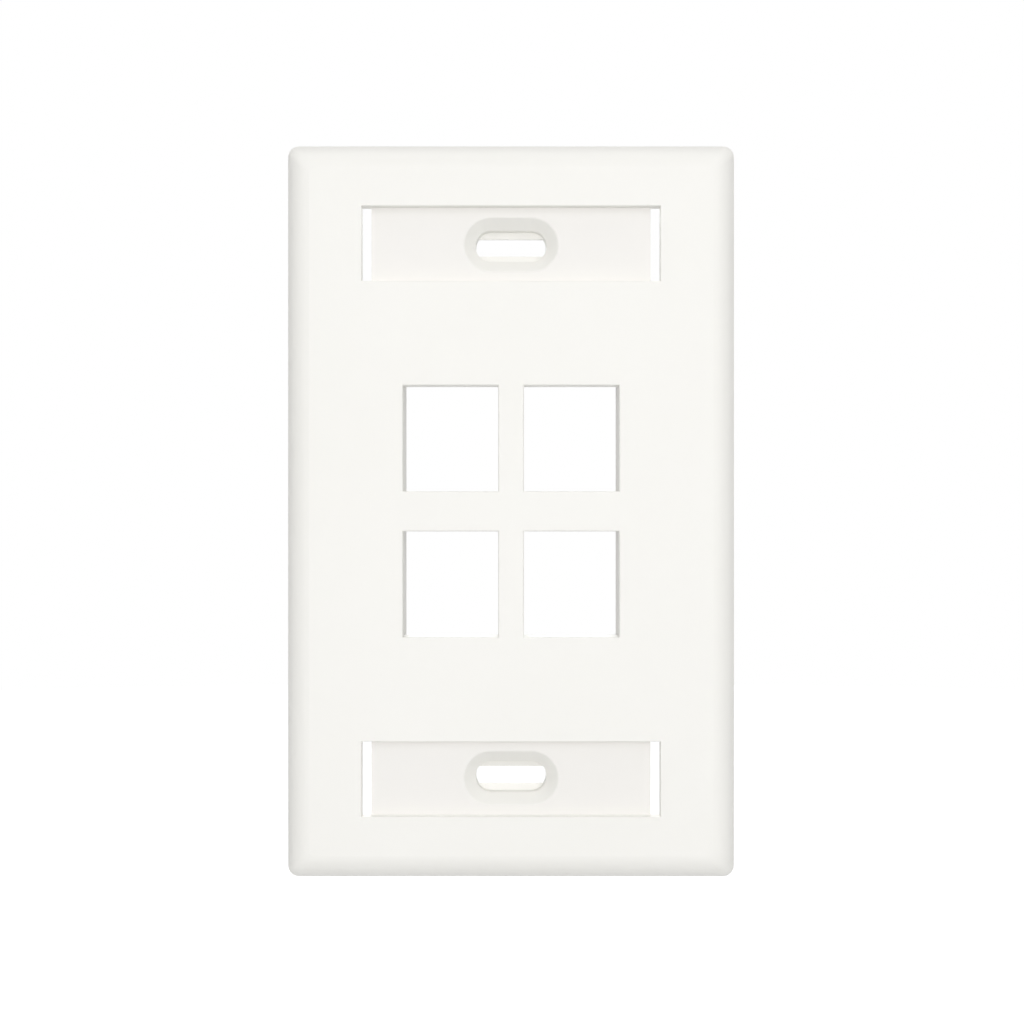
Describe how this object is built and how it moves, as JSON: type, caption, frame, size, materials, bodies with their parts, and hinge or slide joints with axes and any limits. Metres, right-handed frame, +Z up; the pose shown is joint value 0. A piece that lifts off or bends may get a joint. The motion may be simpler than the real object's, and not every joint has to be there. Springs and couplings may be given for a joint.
{
  "type": "keystone faceplate",
  "caption": "Single-gang wall plate with open keystone jack ports, slotted screw holes in label recesses and a rolled bevelled border, moulded in white plastic.",
  "frame": {"origin": "middle of the rear rim, on the wall plane, level with the centre of the plate", "axes": "+X to the right seen from the room, +Y into the wall, +Z up"},
  "size_m": [0.0698, 0.0099, 0.1142],
  "materials": {
    "moulding": "satin"
  },
  "bodies": {
    "root": {"faceplate": "moulding"}
  },
  "joints": []
}
